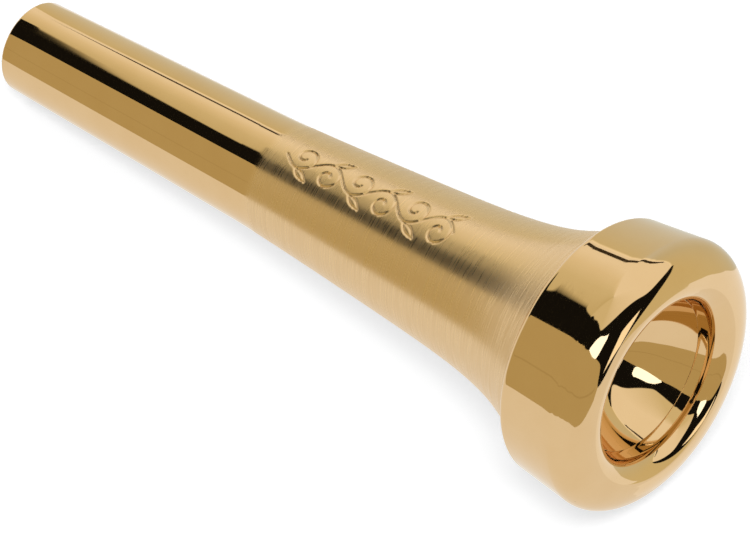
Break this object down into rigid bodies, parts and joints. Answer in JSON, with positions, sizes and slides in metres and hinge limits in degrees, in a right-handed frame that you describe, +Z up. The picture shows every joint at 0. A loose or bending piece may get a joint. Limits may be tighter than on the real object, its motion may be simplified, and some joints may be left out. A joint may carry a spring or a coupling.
{
  "type": "trumpet mouthpiece",
  "caption": "Gold-plated brass trumpet mouthpiece with a tapered shank, satin flared body, screw-in cup and polished screw-on rim.",
  "frame": {"origin": "centre of the bounding box's bottom face, on the surface that the mouthpiece lies on", "axes": "+X runs from the shank's end to the cup along the surface, +Z is up; the bore axis lies in the XZ plane and rises 6.23 degrees towards the cup, because the mouthpiece lies on the edge of its shank and the side of its head"},
  "size_m": [0.0862, 0.0278, 0.0277],
  "materials": {
    "satin_gold": "gold plate over brass, polished on the shank and brushed to a satin round the body",
    "polished_gold": "mirror-polished gold plate over brass",
    "black_rubber": "matt black nitrile rubber"
  },
  "bodies": {
    "stem": {"stem": "satin_gold"},
    "cup_seal": {"cup_o_ring": "black_rubber"},
    "cup": {"cup": "polished_gold"},
    "rim_seal": {"rim_o_ring": "black_rubber"},
    "rim": {"rim": "polished_gold"}
  },
  "joints": [
    {"name": "cup_lift", "type": "slide", "parent": "stem", "child": "cup_seal", "axis": [0.9941, 0, 0.1086], "range_m": [0, 0.00375]},
    {"name": "cup_turn", "type": "hinge", "parent": "cup_seal", "child": "cup", "pos_m": [0.03001, 0, 0.01285], "axis": [0.9941, 0, 0.1086], "range_deg": [0, 1081]},
    {"name": "rim_lift", "type": "slide", "parent": "cup", "child": "rim_seal", "axis": [0.9941, 0, 0.1086], "range_m": [0, 0.00313]},
    {"name": "rim_turn", "type": "hinge", "parent": "rim_seal", "child": "rim", "pos_m": [0.03697, 0, 0.01361], "axis": [0.9941, 0, 0.1086], "range_deg": [0, 901]}
  ],
  "couplings": [
    {"joint": "cup_turn", "follows": "cup_lift", "rad_per_m": 5026.5},
    {"joint": "rim_turn", "follows": "rim_lift", "rad_per_m": 5026.5}
  ]
}
